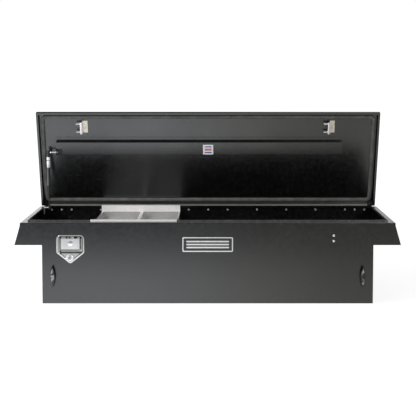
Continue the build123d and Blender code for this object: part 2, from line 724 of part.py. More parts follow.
def handle_dish():
    top = FRONT - GASKET
    plate = dish_outline(0, top - DISH_SHEET, top)
    plate = fillet(plate.edges().group_by(Axis.Y)[0], 1.2)
    sunk = dish_recess(RECESS_INSET - POCKET_SHEET, RECESS_FLOOR + RECESS_SHEET)
    dish = plate + sunk - dish_recess(RECESS_INSET, RECESS_FLOOR)
    dish += dish_pocket(POCKET_SHEET, RECESS_FLOOR, POCKET_BACK)
    dish += rod_y(LOCK_X, BOSS_FRONT, RECESS_FLOOR + RECESS_SHEET, LOCK_Z, BOSS_R) & sunk
    dish -= dish_pocket(0, RECESS_FLOOR - 1, POCKET_BACK - POCKET_SHEET)
    x0 = HANDLE_X - POCKET_HALF - POCKET_SHEET
    x1 = HANDLE_X + POCKET_HALF + POCKET_SHEET
    dish -= rod_x(x0 - 1, x1 + 1, SHAFT_Y, SHAFT_Z, SHAFT_BORE_R)
    dish -= block(LATCH_X - 4.5, LATCH_X + 4.5, SHAFT_Y - 4, POCKET_BACK + 1, SHAFT_Z - 11,
                  POCKET_HIGH + 3)
    return dish - rod_y(LOCK_X, BOSS_FRONT - 1, RECESS_FLOOR + 2, LOCK_Z, LOCK_R)


def handle_gasket():
    ring = dish_outline(-1.0, FRONT - GASKET, FRONT)
    return ring - dish_outline(-PANEL_HOLE_INSET - 0.5, FRONT - 2, FRONT + 1)


def paddle():
    face = FRONT - 1.5
    x0 = HANDLE_X - PADDLE_HALF
    x1 = HANDLE_X + PADDLE_HALF
    lip_z = PADDLE_LOW + 12
    outline = [
        (face, PADDLE_HIGH), (face, lip_z), (face - 4, PADDLE_LOW), (face - 2, PADDLE_LOW),
        (face + 2.5, lip_z), (face + 2.5, PADDLE_HIGH - 6), (SHAFT_Y, PADDLE_HIGH - 4), (SHAFT_Y, PADDLE_HIGH),
    ]
    plate = plate_yz(outline, x0, x1)
    plate = fillet(plate.edges().filter_by(Axis.Y).group_by(Axis.Z)[-1], 1.0)
    ball_r = (DOME_R ** 2 + DOME_RISE ** 2) / (2 * DOME_RISE)
    ball = Pos(HANDLE_X, face - DOME_RISE + ball_r, DOME_Z) * Sphere(ball_r)
    plate += ball & block(x0, x1, face - 2 * DOME_RISE, face + 1, DOME_Z - 2 * DOME_R, DOME_Z + 2 * DOME_R)
    barrel = rod_x(x0, x1, SHAFT_Y, SHAFT_Z, 6.0)
    for x in (x0, x1 - 2):
        plate += block(x, x + 2, face + 1, SHAFT_Y, lip_z + 4, PADDLE_HIGH - 2)
    body = plate + barrel
    body -= block(x0 + 36, x1 - 12, SHAFT_Y - 6.8, SHAFT_Y + 7, SHAFT_Z - 7, SHAFT_Z + 7)
    body -= block(LATCH_X - 4, LATCH_X + 4, SHAFT_Y - 9.2, SHAFT_Y + 8, SHAFT_Z - 10, SHAFT_Z + 10)
    return body - rod_x(x0 - 1, x1 + 1, SHAFT_Y, SHAFT_Z, SHAFT_R)


def release_shaft():
    return rod_x(SHAFT_LEFT, SHAFT_RIGHT, SHAFT_Y, SHAFT_Z, SHAFT_R)


def paddle_spring():
    """A torsion spring around the shaft, in the gap of the paddle's barrel."""
    coil = []
    wire = 0.9
    for turn in range(7):
        x = HANDLE_X + 2 + turn * (2 * wire + 0.3)
        ring = Torus(SHAFT_R + 0.5 + wire, wire)
        coil.append(Pos(x, SHAFT_Y, SHAFT_Z) * Rot(0, 90, 0) * ring)
    return Compound(children=coil)


def lock_body():
    face = BOSS_FRONT
    collar = rod_y(LOCK_X, face - 2.5, face, LOCK_Z, COLLAR_R)
    collar = fillet(collar.edges().group_by(Axis.Y)[0], 2.0)
    body = collar + rod_y(LOCK_X, face - 3.5, LOCK_BODY_BACK, LOCK_Z, LOCK_R)
    return body - rod_y(LOCK_X, face - 6, LOCK_BODY_BACK + 1, LOCK_Z, PLUG_R + 0.05)


def lock_plug():
    face = BOSS_FRONT
    plug = rod_y(LOCK_X, face - 4.1, LOCK_CAM_FRONT, LOCK_Z, PLUG_R)
    plug = fillet(plug.edges().group_by(Axis.Y)[0], 0.8)
    return plug - block(LOCK_X - 1, LOCK_X + 1, face - 6, face + 12, LOCK_Z - 4.5, LOCK_Z + 4.5)


def lock_cam():
    cam = block(LOCK_X - 8, LOCK_X + 30, LOCK_CAM_FRONT, LOCK_CAM_BACK, LOCK_Z - 7, LOCK_Z + 7)
    return fillet(cam.edges().filter_by(Axis.Y), 4.0)


def lock_nut():
    seat = RECESS_FLOOR + RECESS_SHEET
    nut = hexagon_y(LOCK_X, seat, seat + 4, LOCK_Z, 28.0)
    return nut - rod_y(LOCK_X, seat - 1, seat + 5, LOCK_Z, LOCK_R)


# ---------------------------------------------------------------- tray

def tray_pan():
    """Floor, two low sides with folded tops, and two taller ends."""
    t = TRAY_SHEET
    pan = block(TRAY_LEFT, TRAY_RIGHT, -TRAY_Y, TRAY_Y, TRAY_FLOOR - t, TRAY_FLOOR)
    for x0, x1 in ((TRAY_LEFT, TRAY_LEFT + t), (TRAY_RIGHT - t, TRAY_RIGHT)):
        pan += block(x0, x1, -TRAY_Y, TRAY_Y, TRAY_FLOOR, TRAY_SIDE_TOP)
    hem = 8
    pan += block(TRAY_LEFT, TRAY_LEFT + hem, -TRAY_Y, TRAY_Y, TRAY_SIDE_TOP - t, TRAY_SIDE_TOP)
    pan += block(TRAY_RIGHT - hem, TRAY_RIGHT, -TRAY_Y, TRAY_Y, TRAY_SIDE_TOP - t, TRAY_SIDE_TOP)
    for y0, y1 in ((-TRAY_Y, -TRAY_Y + t), (TRAY_Y - t, TRAY_Y)):
        pan += block(TRAY_LEFT, TRAY_RIGHT, y0, y1, TRAY_FLOOR, PAN_END_TOP)
    return pan


def tray_hangers():
    """Two bright strips inside the tray's ends that hook over the box's lips."""
    t = TRAY_SHEET
    hook = TRAY_HOOK_TOP
    leg = TRAY_Y - t
    reach = LIP_Y + 9
    outline = [
        (leg - t, HANGER_LOW), (leg, HANGER_LOW), (leg, hook - t), (reach - t, hook - t),
        (reach - t, HEIGHT + 1), (reach, HEIGHT + 1), (reach, hook), (leg - t, hook),
    ]
    rear = plate_yz(outline, TRAY_LEFT, TRAY_RIGHT)
    return Compound(children=[rear, rear.mirror(Plane.XZ)])


def tray_divider():
    t = TRAY_SHEET
    half = TRAY_Y - 2 * t
    wall = block(DIVIDER_X - t / 2, DIVIDER_X + t / 2, -half, half, TRAY_FLOOR, TRAY_SIDE_TOP)
    top = block(DIVIDER_X - DIVIDER_TOP / 2, DIVIDER_X + DIVIDER_TOP / 2, -half, half,
                TRAY_SIDE_TOP - t, TRAY_SIDE_TOP)
    foot = block(DIVIDER_X - DIVIDER_TOP / 2, DIVIDER_X, -half, half, TRAY_FLOOR, TRAY_FLOOR + t)
    return wall + top + foot


# ---------------------------------------------------------------- trim

def badge_plate():
    """A blank name plate: a raised border around a plain field."""
    low = BADGE_Z - BADGE_HEIGHT / 2
    high = BADGE_Z + BADGE_HEIGHT / 2
    plate = block(-BADGE_LENGTH / 2, BADGE_LENGTH / 2, FRONT - 2.5, FRONT, low, high)
    plate = fillet(plate.edges().filter_by(Axis.Y), 6.0)
    field = block(-BADGE_LENGTH / 2 + 5, BADGE_LENGTH / 2 - 5, FRONT - 3, FRONT - 1.5, low + 5, high - 5)
    return plate - fillet(field.edges().filter_by(Axis.Y), 4.0)


def cleat_screw_heights():
    return (CLEAT_Z - 17, CLEAT_Z + 17)


def almond(length, width, y0, y1):
    """A pointed oval about the cleat's centre line."""
    radius = (length ** 2 + width ** 2) / (4 * width)
    offset = radius - width / 2
    left = Pos(offset, 0, 0) * rod_y(0, y0, y1, 0, radius)
    right = Pos(-offset, 0, 0) * rod_y(0, y0, y1, 0, radius)
    return left & right


def cleat():
    base = almond(64, CLEAT_WIDTH, FRONT - 5, FRONT)
    post = rod_y(0, FRONT - 16, FRONT - 5, 0, 7.5)
    horn = almond(CLEAT_LENGTH, CLEAT_WIDTH - 6, FRONT - 25, FRONT - 16)
    horn = chamfer(horn.edges().group_by(Axis.Y)[0], 7.0, 9.5)
    shape = base + post + horn
    for z in (-17, 17):
        shape -= rod_y(0, FRONT - 6, FRONT + 1, z, 2.6)
    return shape


def tie_down_cleats():
    return Compound(children=[Pos(side * CLEAT_X, 0, CLEAT_Z) * cleat() for side in (-1, 1)])


def cleat_screws():
    screws = []
    for side in (-1, 1):
        for z in cleat_screw_heights():
            head = rod_y(side * CLEAT_X, FRONT - 7.5, FRONT - 5, z, 4.6)
            head -= cross_y(side * CLEAT_X, FRONT - 8, FRONT - 6.2, z, 5.0)
            screws.append(head + rod_y(side * CLEAT_X, FRONT - 5, INNER_FRONT + 6, z, 2.6))
    return Compound(children=screws)


# ---------------------------------------------------------------- write the parts

save(front_panel(), "front_panel")
save(rear_panel(), "rear_panel")
save(floor_panel(), "floor_panel")
save(side_panel(), "right_side_panel")
save(mirrored(side_panel()), "left_side_panel")
save(wing_floor(), "right_wing_floor")
save(mirrored(wing_floor()), "left_wing_floor")
save(wing_end(), "right_wing_end")
save(mirrored(wing_end()), "left_wing_end")
for name, piece in rim_pieces().items():
    save(piece, name)

save(hinge_body_leaf(), "hinge_body_leaf")
save(opened(hinge_lid_leaf()), "hinge_lid_leaf")
save(rod_x(-HINGE_LENGTH / 2, HINGE_LENGTH / 2, HINGE_Y, HINGE_Z, HINGE_PIN_R), "hinge_pin")
save(hinge_screws(), "hinge_screws")

save(lid_shell(), "lid_shell")
save(lid_seal(), "lid_seal")
save(lid_channel(), "lid_channel")
save(striker_brackets(), "striker_brackets")
save(striker_rods(), "striker_rods")
save(striker_screws(), "striker_screws")

save(strut_lid_bracket(), "strut_lid_bracket")
save(strut_upper_stud(), "strut_upper_stud")
save(strut_body_bracket(), "strut_body_bracket")
save(strut_lower_stud(), "strut_lower_stud")
save(strut_cylinder(), "strut_cylinder")
save(strut_cylinder_end(), "strut_cylinder_end")
save(strut_rod(), "strut_rod")
save(strut_rod_end(), "strut_rod_end")

save(left_latch_housing(), "left_latch_housing")
save(right_latch_housing(), "right_latch_housing")
save(claw_shape(), "left_claw")
save(Pos(STRIKER_STEP, 0, 0) * claw_shape(), "right_claw")
save(Compound(children=[claw_pin(LATCH_X), claw_pin(LATCH_X + STRIKER_STEP)]), "claw_pins")
save(latch_screws(), "latch_screws")
save(latch_nuts(), "latch_nuts")
save(pawl(LATCH_X), "left_pawl")
save(pawl(LATCH_X + STRIKER_STEP), "right_pawl")
save(release_shaft(), "release_shaft")
save(shaft_bearing(), "shaft_bearing")

save(handle_dish(), "handle_dish")
save(handle_gasket(), "handle_gasket")
save(paddle(), "paddle")
save(paddle_spring(), "paddle_spring")
save(lock_body(), "lock_body")
save(lock_plug(), "lock_plug")
save(lock_cam(), "lock_cam")
save(lock_nut(), "lock_nut")

save(tray_pan(), "tray_pan")
save(tray_hangers(), "tray_hangers")
save(tray_divider(), "tray_divider")

save(badge_plate(), "badge_plate")
save(tie_down_cleats(), "tie_down_cleats")
save(cleat_screws(), "cleat_screws")
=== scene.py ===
import math
import json

import bmesh
import bpy
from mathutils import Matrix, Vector


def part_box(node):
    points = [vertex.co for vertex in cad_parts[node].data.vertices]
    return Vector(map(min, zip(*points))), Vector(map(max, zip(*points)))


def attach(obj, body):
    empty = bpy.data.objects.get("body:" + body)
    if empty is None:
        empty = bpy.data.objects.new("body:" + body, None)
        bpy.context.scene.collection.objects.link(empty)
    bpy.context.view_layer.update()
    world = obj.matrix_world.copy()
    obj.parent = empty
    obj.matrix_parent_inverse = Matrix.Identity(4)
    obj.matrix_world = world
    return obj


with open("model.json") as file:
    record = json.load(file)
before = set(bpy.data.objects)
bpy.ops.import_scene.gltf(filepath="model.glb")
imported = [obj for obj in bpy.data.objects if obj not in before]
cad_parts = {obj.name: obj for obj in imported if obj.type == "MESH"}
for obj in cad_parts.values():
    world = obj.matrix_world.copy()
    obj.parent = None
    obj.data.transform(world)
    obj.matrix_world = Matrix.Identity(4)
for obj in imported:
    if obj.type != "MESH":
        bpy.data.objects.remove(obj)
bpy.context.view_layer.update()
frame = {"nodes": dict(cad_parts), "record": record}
nodes = frame["nodes"]
MM = 0.001

# Open lid: distances along it are measured from the hinge, and heights from the hinge axis, lid closed
LID_ANGLE = math.radians(75.0)
HINGE = Vector((0.0, 0.2576, 0.381))
LID_UNDER = 0.024
CHANNEL_NEAR = 0.2835
CHANNEL_FAR = 0.3535
FRONT = -0.254
BEVEL = 0.0006


# ---------------------------------------------------------------- nodes

def new_material(name):
    material = bpy.data.materials.new(name)
    material.use_nodes = True
    tree = material.node_tree
    tree.nodes.clear()
    out = tree.nodes.new("ShaderNodeOutputMaterial")
    shader = tree.nodes.new("ShaderNodeBsdfPrincipled")
    tree.links.new(shader.outputs["BSDF"], out.inputs["Surface"])
    return material, tree, shader


def space(tree, kind="Object"):
    return tree.nodes.new("ShaderNodeTexCoord").outputs[kind]


def coords(tree, scale=(1, 1, 1)):
    mapping = tree.nodes.new("ShaderNodeMapping")
    mapping.inputs["Scale"].default_value = scale
    tree.links.new(space(tree), mapping.inputs["Vector"])
    return mapping.outputs["Vector"]


def axes(tree, vector):
    """The x, y and z of a vector as three outputs."""
    split = tree.nodes.new("ShaderNodeSeparateXYZ")
    tree.links.new(vector, split.inputs[0])
    return split.outputs


def noise(tree, vector, scale, detail=2.0, roughness=0.5):
    node = tree.nodes.new("ShaderNodeTexNoise")
    node.inputs["Scale"].default_value = scale
    node.inputs["Detail"].default_value = detail
    node.inputs["Roughness"].default_value = roughness
    tree.links.new(vector, node.inputs["Vector"])
    return node.outputs["Fac"]


def ramp(tree, value, low, high, start, end):
    node = tree.nodes.new("ShaderNodeMapRange")
    node.interpolation_type = "SMOOTHSTEP"
    node.inputs["From Min"].default_value = start
    node.inputs["From Max"].default_value = end
    node.inputs["To Min"].default_value = low
    node.inputs["To Max"].default_value = high
    tree.links.new(value, node.inputs["Value"])
    return node.outputs["Result"]


def blend_colour(tree, factor, first, second):
    node = tree.nodes.new("ShaderNodeMix")
    node.data_type = "RGBA"
    tree.links.new(factor, node.inputs[0])
    for socket, colour in ((node.inputs[6], first), (node.inputs[7], second)):
        if isinstance(colour, tuple):
            socket.default_value = (*colour, 1.0)
        else:
            tree.links.new(colour, socket)
    return node.outputs[2]


def maths(tree, operation, first, second):
    node = tree.nodes.new("ShaderNodeMath")
    node.operation = operation
    for socket, value in zip(node.inputs, (first, second)):
        if isinstance(value, (int, float)):
            socket.default_value = value
        else:
            tree.links.new(value, socket)
    return node.outputs[0]


def band(tree, value, start, end, soft):
    """One between start and end, fading to zero over soft inside each."""
    return maths(tree, "MULTIPLY", ramp(tree, value, 0.0, 1.0, start, start + soft),
                 ramp(tree, value, 1.0, 0.0, end - soft, end))


def by_ray(tree, out, lighting, seen):
    """Connect one shader for what the camera sees, and another for the light that the object gets."""
    path = tree.nodes.new("ShaderNodeLightPath")
    pick = tree.nodes.new("ShaderNodeMixShader")
    tree.links.new(path.outputs["Is Camera Ray"], pick.inputs[0])
    tree.links.new(lighting.outputs[0], pick.inputs[1])
    tree.links.new(seen.outputs[0], pick.inputs[2])
    tree.links.new(pick.outputs[0], out.inputs["Surface"])


def bump(tree, shader, height, distance, strength=1.0, previous=None):
    node = tree.nodes.new("ShaderNodeBump")
    node.inputs["Distance"].default_value = distance
    node.inputs["Strength"].default_value = strength
    tree.links.new(height, node.inputs["Height"])
    if previous is not None:
        tree.links.new(previous, node.inputs["Normal"])
    tree.links.new(node.outputs["Normal"], shader.inputs["Normal"])
    return node.outputs["Normal"]


# ---------------------------------------------------------------- materials

COAT_IOR = 1.68


def powder_coat(name, lift=0.0, rough=0.0, above=-1.0, ior=COAT_IOR):
    """Satin black powder coat: soft orange peel, fine dust and slow changes of sheen.

    lift paints parts a greyer tone as a painted sheen, and rough makes them rougher; above gives the
    height where the painted sheen starts.
    """
    material, tree, shader = new_material(name)
    place = coords(tree)
    peel = noise(tree, place, 210.0, 2.0, 0.5)
    grain = noise(tree, place, 1300.0, 2.0, 0.6)
    slow = noise(tree, place, 5.0, 4.0, 0.6)
    cloud = noise(tree, place, 60.0, 3.0, 0.6)
    patches = ramp(tree, cloud, 0.0, 1.0, 0.35, 0.7)
    colour = blend_colour(tree, patches, (0.0028, 0.0029, 0.0032), (0.0075, 0.0075, 0.0077))
    # Painted sheen: from the given height up, the tone is lifted to a lighter grey in random patches.
    if lift > 0.0:
        height = axes(tree, place)[2]
        patches_and_painted_light = blend_colour(tree, patches, (lift, lift, lift), (1.6 * lift, 1.6 * lift, 1.6 * lift))
        colour = blend_colour(tree, ramp(tree, height, 0.0, 1.0, above - MM, above), colour, patches_and_painted_light)
    speck = ramp(tree, grain, 0.0, 1.0, 0.64, 0.82)
    # Dust specks, painted lighter too where lift paints a sheen.
    dust_and_painted_sheen = 0.016 + 0.5 * lift
    tree.links.new(blend_colour(tree, speck, colour, (dust_and_painted_sheen, dust_and_painted_sheen, dust_and_painted_sheen)), shader.inputs["Base Color"])
    sheen = maths(tree, "ADD", ramp(tree, slow, 0.20 + rough, 0.25 + rough, 0.3, 0.7),
                  ramp(tree, cloud, -0.02, 0.03, 0.3, 0.7))
    tree.links.new(sheen, shader.inputs["Roughness"])
    shader.inputs["IOR"].default_value = ior
    first = bump(tree, shader, peel, 0.00016, 0.35)
    bump(tree, shader, grain, 0.00004, 0.25, first)
    return material


def brushed(name, colour, tint, roughness, lines, depth, metallic=1.0, patch=9.0, hollow=None):
    """Metal with fine lines.

    lines gives how closely the marks follow each other along each axis, patch how large the cloudy
    areas are, and hollow where along Y a painted shade starts and ends, darkening the metal deeper into a
    recess.
    """
    material, tree, shader = new_material(name)
    marks = noise(tree, coords(tree, lines), 1.0, 4.0, 0.65)
    cloudy = noise(tree, coords(tree), patch, 4.0, 0.6)
    spots = noise(tree, coords(tree), patch * 14, 3.0, 0.6)
    base = blend_colour(tree, ramp(tree, cloudy, 0.0, 1.0, 0.3, 0.7), colour, tint)
    patches_and_painted_light = blend_colour(tree, ramp(tree, spots, 0.0, 0.35, 0.45, 0.8), base,
                        tuple(0.6 * c for c in colour))
    # Painted shade: the metal darkens deeper into the recess along Y.
    if hollow is not None:
        painted_recess_shade = ramp(tree, axes(tree, coords(tree))[1], 0.0, 1.0, *hollow)
        patches_and_painted_light = blend_colour(tree, painted_recess_shade, patches_and_painted_light, tuple(0.55 * c for c in colour))
    tree.links.new(patches_and_painted_light, shader.inputs["Base Color"])
    shader.inputs["Metallic"].default_value = metallic
    shader.inputs["Anisotropic"].default_value = 0.3
    rough = maths(tree, "ADD", ramp(tree, marks, roughness[0], roughness[1], 0.25, 0.75),
                  ramp(tree, cloudy, -0.03, 0.05, 0.3, 0.7))
    tree.links.new(rough, shader.inputs["Roughness"])
    bump(tree, shader, marks, depth, 0.5)
    return material


def plain_coat(name, colour, roughness, grain, depth, ior=1.5, coat=0.0, level=0.5, ridge=None):
    """Plastic, paint or rubber with a moulded grain and a little dust in its hollows.

    ridge is where along Y a front edge lies, if that edge gets a painted highlight in broken patches.
    """
    material, tree, shader = new_material(name)
    place = coords(tree)
    fine = noise(tree, place, grain, 3.0, 0.6)
    slow = noise(tree, place, 24.0, 3.0, 0.6)
    lighter = tuple(1.6 * c + 0.004 for c in colour)
    tone = blend_colour(tree, ramp(tree, slow, 0.0, 0.8, 0.35, 0.75), colour, lighter)
    # Painted highlight: broken patches of light grey along the front edge.
    if ridge is not None:
        painted_ridge_highlight = maths(tree, "MULTIPLY",
                       ramp(tree, axes(tree, place)[1], 1.0, 0.0, ridge + 1.5 * MM, ridge + 6 * MM),
                       ramp(tree, noise(tree, place, 38.0, 2.0, 0.5), 0.0, 1.0, 0.44, 0.60))
        tone = blend_colour(tree, painted_ridge_highlight, tone, (0.34, 0.34, 0.35))
    tree.links.new(tone, shader.inputs["Base Color"])
    tree.links.new(ramp(tree, fine, roughness[0], roughness[1], 0.3, 0.7), shader.inputs["Roughness"])
    shader.inputs["IOR"].default_value = ior
    shader.inputs["Specular IOR Level"].default_value = level
    shader.inputs["Coat Weight"].default_value = coat
    shader.inputs["Coat Roughness"].default_value = 0.08
    bump(tree, shader, fine, depth, 0.5)
    return material


# How closely the brush marks follow each other along X, Y and Z
ALONG_X = (6.0, 900.0, 900.0)
DOWN_Y = (900.0, 6.0, 25.0)
EVERY_WAY = (500.0, 500.0, 500.0)
# Height from which the rim's top flange gets a painted sheen
RIM_TOP = 0.3806

coat = powder_coat("black_powder_coat")
lid_coat = powder_coat("lid_powder_coat", ior=1.80)
# The rim's top flange is painted a lighter grey: a painted sheen for the light that it catches.
rim_coat = powder_coat("rim_powder_coat", lift=0.060, above=RIM_TOP)
# The tack welds are painted a lighter grey all over: a painted highlight.
weld_coat = powder_coat("weld_powder_coat", lift=0.030, rough=0.05)
tray_metal = brushed("mill_aluminium", (0.72, 0.72, 0.70), (0.60, 0.60, 0.59), (0.16, 0.24),
                     DOWN_Y, 0.00002, metallic=0.6)
hanger_metal = brushed("hanger_aluminium", (0.96, 0.93, 0.92), (0.90, 0.88, 0.87), (0.34, 0.42),
                       ALONG_X, 0.00003, metallic=0.18)
hinge_metal = brushed("hinge_aluminium", (0.66, 0.66, 0.62), (0.54, 0.54, 0.52), (0.36, 0.46),
                      ALONG_X, 0.00005, metallic=0.75)
zinc = brushed("zinc_plate", (0.90, 0.87, 0.80), (0.72, 0.64, 0.53), (0.36, 0.46),
               EVERY_WAY, 0.00004, metallic=0.8, patch=110.0)
bright = brushed("bright_steel", (0.90, 0.90, 0.91), (0.80, 0.81, 0.83), (0.30, 0.42),
                 EVERY_WAY, 0.00002, metallic=0.75, patch=40.0)
stainless = brushed("stainless", (0.74, 0.73, 0.71), (0.64, 0.64, 0.63), (0.14, 0.22),
                    ALONG_X, 0.00003, metallic=0.8, patch=30.0)
# The dish darkens deeper into its recess: painted shade.
dish_metal = brushed("dish_stainless", (0.70, 0.69, 0.67), (0.60, 0.60, 0.59), (0.12, 0.20),
                     ALONG_X, 0.00003, patch=30.0, hollow=(FRONT + 0.2 * MM, FRONT + 2.6 * MM))
plug_metal = brushed("plug_metal", (0.42, 0.41, 0.40), (0.34, 0.34, 0.33), (0.24, 0.34),
                     EVERY_WAY, 0.00002, patch=40.0)
black_metal = brushed("black_oxide", (0.060, 0.060, 0.063), (0.035, 0.035, 0.038), (0.38, 0.50),
                      EVERY_WAY, 0.00004, patch=60.0)
tube_paint = plain_coat("tube_paint", (0.008, 0.008, 0.009), (0.12, 0.18), 400.0, 0.00002, 1.6, 0.5)
nylon = plain_coat("nylon", (0.016, 0.016, 0.017), (0.48, 0.62), 900.0, 0.00006)
rubber = plain_coat("seal_rubber", (0.10, 0.10, 0.095), (0.72, 0.82), 700.0, 0.00008, level=0.12)
# The cleats' front ridge gets a painted highlight.
gloss = plain_coat("gloss_black", (0.003, 0.003, 0.003), (0.08, 0.13), 220.0, 0.00004, 1.45,
                   ridge=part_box("tie_down_cleats")[0].y)

# Depths in the badge's recess: where its dark print starts, where it is full, and the recess's floor
BADGE_PRINT_START = FRONT - 1.9 * MM
BADGE_PRINT_FULL = FRONT - 1.6 * MM
BADGE_FIELD = FRONT - 1.5 * MM


def badge_metal():
    """Satin metal border, and a dark printed field in the recess."""
    material, tree, shader = new_material("badge_metal")
    field = ramp(tree, axes(tree, space(tree))[1], 0.0, 1.0, BADGE_PRINT_START, BADGE_PRINT_FULL)
    marks = noise(tree, coords(tree, ALONG_X), 1.0, 4.0, 0.65)
    grain = noise(tree, coords(tree), 900.0, 2.0, 0.6)
    silver = blend_colour(tree, marks, (0.72, 0.72, 0.73), (0.86, 0.86, 0.86))
    dark = blend_colour(tree, grain, (0.016, 0.016, 0.017), (0.030, 0.030, 0.031))
    tree.links.new(blend_colour(tree, field, silver, dark), shader.inputs["Base Color"])
    tree.links.new(ramp(tree, field, 1.0, 0.0, 0.0, 1.0), shader.inputs["Metallic"])
    tree.links.new(ramp(tree, marks, 0.30, 0.42, 0.3, 0.7), shader.inputs["Roughness"])
    bump(tree, shader, marks, 0.00003, 0.4)
    return material


by_slot = {
    "black_powder_coat": coat, "bright_aluminium": tray_metal, "zinc_steel": zinc,
    "bright_steel": bright, "stainless": stainless, "black_steel": black_metal,
    "strut_tube": tube_paint, "strut_socket": nylon, "seal_rubber": rubber,
    "gloss_black": gloss, "badge_metal": badge_metal(),
}
slot_of = {row["node"]: row["material_slot"] for row in frame["record"]["subparts"]}


def dress(name, piece):
    material = by_slot[slot_of[name]]
    if name.startswith("hinge_") and name.endswith("leaf"):
        material = hinge_metal
    if name in ("tray_hangers", "tray_divider"):
        material = hanger_metal
    if name == "handle_dish":
        material = dish_metal
    if name == "lock_plug":
        material = plug_metal
    if name in ("lid_shell", "lid_channel"):
        material = lid_coat
    if name in ("front_rim", "left_rim", "right_rim"):
        material = rim_coat
    piece.data.materials.clear()
    piece.data.materials.append(material)
    for face in piece.data.polygons:
        face.material_index = 0


# Nodes whose sharp sheet edges are rounded; the large panels are left out, and keep theirs
SHARP_NODES = [
    "left_side_panel", "right_side_panel", "left_wing_floor", "right_wing_floor",
    "left_wing_end", "right_wing_end", "tray_pan", "tray_divider",
    "striker_brackets", "strut_lid_bracket", "strut_body_bracket", "badge_plate",
]


def soften(piece, width):
    """Round the sheet edges a little, so that they catch the light."""
    weld = piece.modifiers.new("weld", "WELD")
    weld.merge_threshold = 0.00001
    edge = piece.modifiers.new("edge", "BEVEL")
    edge.width = width
    edge.segments = 2
    edge.limit_method = "ANGLE"
    edge.angle_limit = math.radians(50)
    edge.harden_normals = False
    flat = piece.modifiers.new("flat", "WEIGHTED_NORMAL")
    flat.mode = "FACE_AREA_WITH_ANGLE"
    flat.weight = 100


for name, piece in nodes.items():
    dress(name, piece)
for name in SHARP_NODES:
    soften(nodes[name], BEVEL)


# ---------------------------------------------------------------- added details

def mesh_piece(name, build, material, body):
    mesh = bpy.data.meshes.new(name)
    shape = bmesh.new()
    build(shape)
    shape.normal_update()
    shape.to_mesh(mesh)
    shape.free()
    piece = bpy.data.objects.new(name, mesh)
    bpy.context.scene.collection.objects.link(piece)
    piece.data.materials.append(material)
    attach(piece, body)


def on_lid(x, reach, height):
    """A point of the open lid: reach along it from the hinge, height above the hinge when closed."""
    y = -reach * math.cos(LID_ANGLE) + height * math.sin(LID_ANGLE)
    z = reach * math.sin(LID_ANGLE) + height * math.cos(LID_ANGLE)
    return HINGE + Vector((x, y, z))


def bead(shape, start, end, normal, radius, count):
    """A weld bead from start to end: a run of overlapping ripples, half sunk in the surface."""
    run = end - start
    along = run.normalized()
    across = normal.cross(along).normalized()
    steps = count * 4
    rings = []
    for i in range(steps + 1):
        share = i / steps
        fade = min(1.0, 6 * share + 0.25, 6 * (1 - share) + 0.25)
        size = radius * fade * (0.86 + 0.14 * math.cos(2 * math.pi * share * count))
        centre = start + run * share
        ring = []
        for k in range(7):
            turn = math.pi * k / 6
            ring.append(shape.verts.new(centre + across * (size * math.cos(turn))
                                        + normal * (0.6 * size * math.sin(turn) - 0.1 * radius)))
        rings.append(ring)
    for a, b in zip(rings, rings[1:]):
        for k in range(6):
            face = shape.faces.new((a[k], a[k + 1], b[k + 1], b[k]))
            face.smooth = True
        shape.faces.new((a[6], a[0], b[0], b[6]))
    shape.faces.new(rings[0])
    shape.faces.new(list(reversed(rings[-1])))


def slab(shape, corners, normal, thickness):
    """A thin plate on an outline, raised along normal."""
    low = [shape.verts.new(c) for c in corners]
    high = [shape.verts.new(c + normal * thickness) for c in corners]
    shape.faces.new(high)
    shape.faces.new(list(reversed(low)))
    count = len(corners)
    for i in range(count):
        j = (i + 1) % count
        shape.faces.new((low[i], low[j], high[j], high[i]))


UNDER_NORMAL = Vector((0.0, -math.sin(LID_ANGLE), -math.cos(LID_ANGLE)))
CHANNEL_FLANGE = 0.019
TACK_PITCH = 0.345
TACK_OFFSET = -0.03
TACK_LENGTH = 0.034
TACK_RADIUS = 0.0022
TACK_RIPPLES = 9


def channel_tacks(shape):
    """Short weld runs that hold the channel's flanges to the lid."""
    height = LID_UNDER - MM
    for reach in (CHANNEL_NEAR - CHANNEL_FLANGE, CHANNEL_FAR + CHANNEL_FLANGE):
        for step in range(-2, 3):
            middle = step * TACK_PITCH + TACK_OFFSET
            bead(shape, on_lid(middle - TACK_LENGTH / 2, reach, height),
                 on_lid(middle + TACK_LENGTH / 2, reach, height),
                 UNDER_NORMAL, TACK_RADIUS, TACK_RIPPLES)


mesh_piece("channel_welds", channel_tacks, weld_coat, "lid")

LABEL_SIZE = 0.052
LABEL_THICKNESS = 0.0003
LABEL_REACH = (CHANNEL_NEAR + CHANNEL_FAR) / 2 - 0.005


def channel_label(shape):
    """A square label on the channel's face."""
    half = LABEL_SIZE / 2
    corners = [(-half, -half), (-half, half), (half, half), (half, -half)]
    slab(shape, [on_lid(x, LABEL_REACH + along, 0.0) for x, along in corners],
         UNDER_NORMAL, LABEL_THICKNESS)


def label_material():
    """A white vinyl label with three plain bands: blue, red and blue."""
    material, tree, shader = new_material("channel_label")
    x, _, z = axes(tree, space(tree, "Generated"))
    grain = noise(tree, coords(tree), 500.0, 2.0)
    inside = band(tree, x, 0.14, 0.86, 0.04)
    colour = blend_colour(tree, grain, (0.80, 0.80, 0.81), (0.88, 0.88, 0.88))
    for start, end, ink in ((0.36, 0.64, (0.62, 0.20, 0.18)), (0.70, 0.88, (0.10, 0.16, 0.42)),
                            (0.10, 0.28, (0.08, 0.12, 0.36))):
        printed = maths(tree, "MULTIPLY", inside, band(tree, z, start, end, 0.04))
        colour = blend_colour(tree, printed, colour, ink)
    tree.links.new(colour, shader.inputs["Base Color"])
    shader.inputs["Roughness"].default_value = 0.35
    bump(tree, shader, grain, 0.00003, 0.3)
    return material


mesh_piece("channel_label", channel_label, label_material(), "lid")


